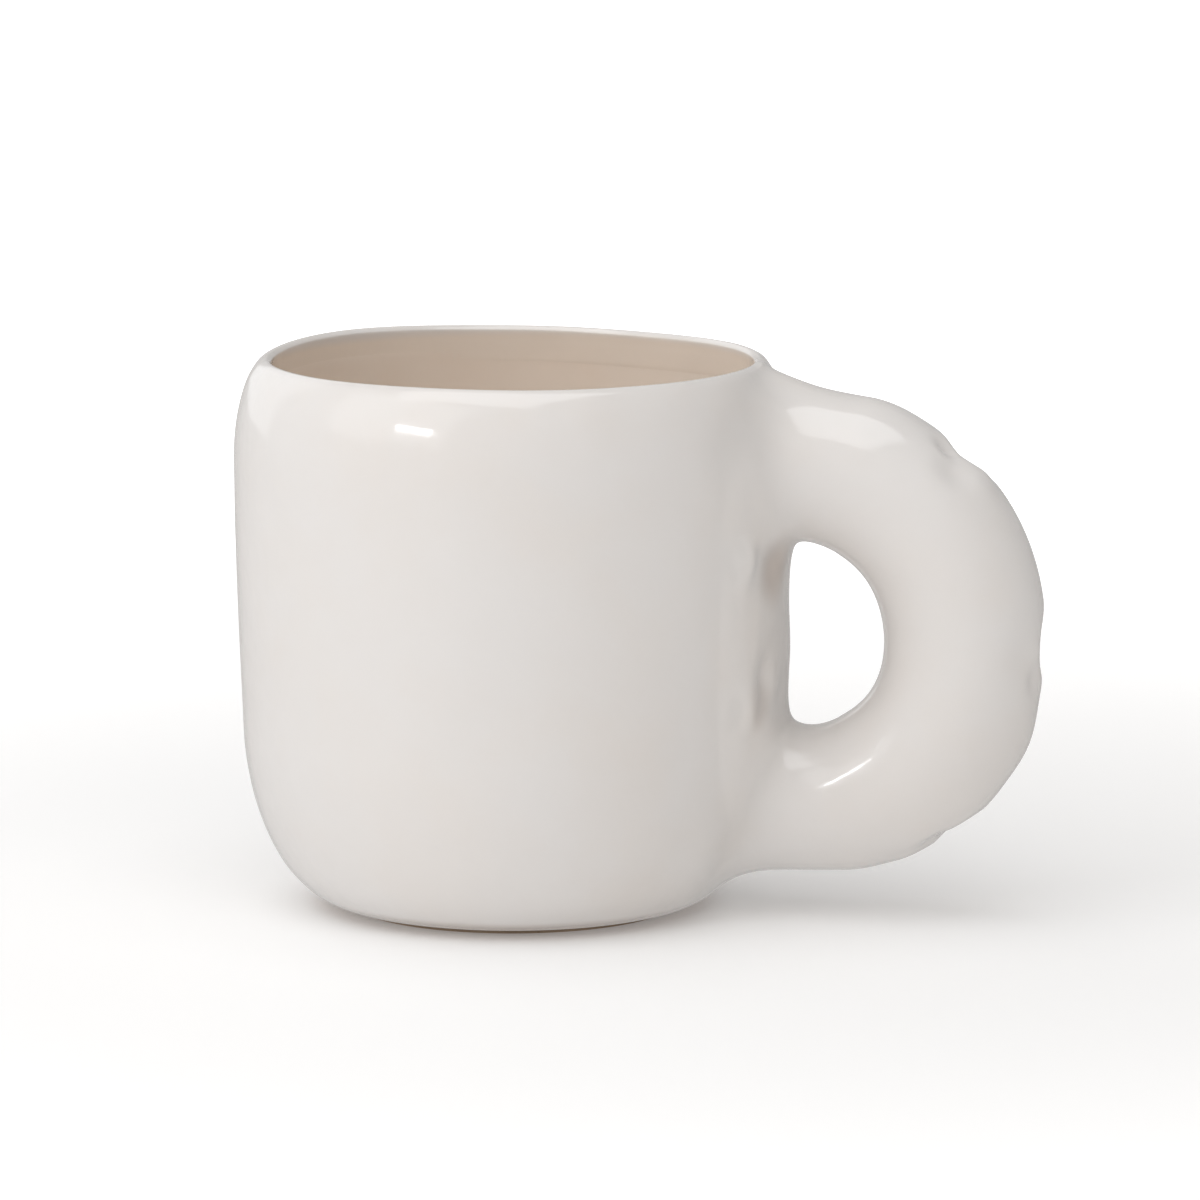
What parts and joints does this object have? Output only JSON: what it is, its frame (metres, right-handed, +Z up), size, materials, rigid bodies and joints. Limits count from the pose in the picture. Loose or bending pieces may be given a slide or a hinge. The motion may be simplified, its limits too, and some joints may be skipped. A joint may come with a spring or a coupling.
{
  "type": "mug",
  "caption": "Glazed ceramic drinking mug: a straight-sided cup with rounded shoulder and belly, a thin lip, and a thick lumpy ring handle on one side.",
  "frame": {"origin": "on the table, under the middle of the mug's outline seen from above, handle included; the body's own axis stands at x = -0.0211 m", "axes": "+Z up, along the body's axis; +X from the body towards the handle, whose ring lies in the XZ plane"},
  "size_m": [0.136, 0.093, 0.0921],
  "materials": {
    "bare_clay": "unglazed, fine-grained, matt",
    "white_glaze": "glossy warm white glaze, slightly uneven",
    "cream_liner": "glossy cream glaze"
  },
  "bodies": {
    "root": {"cup_wall": "bare_clay", "floor_slab": "bare_clay", "foot_ring": "bare_clay", "handle_coil": "bare_clay", "upper_handle_wad": "bare_clay", "lower_handle_wad": "bare_clay", "outer_glaze": "white_glaze", "liner_glaze": "cream_liner", "base_glaze": "white_glaze"}
  },
  "joints": []
}
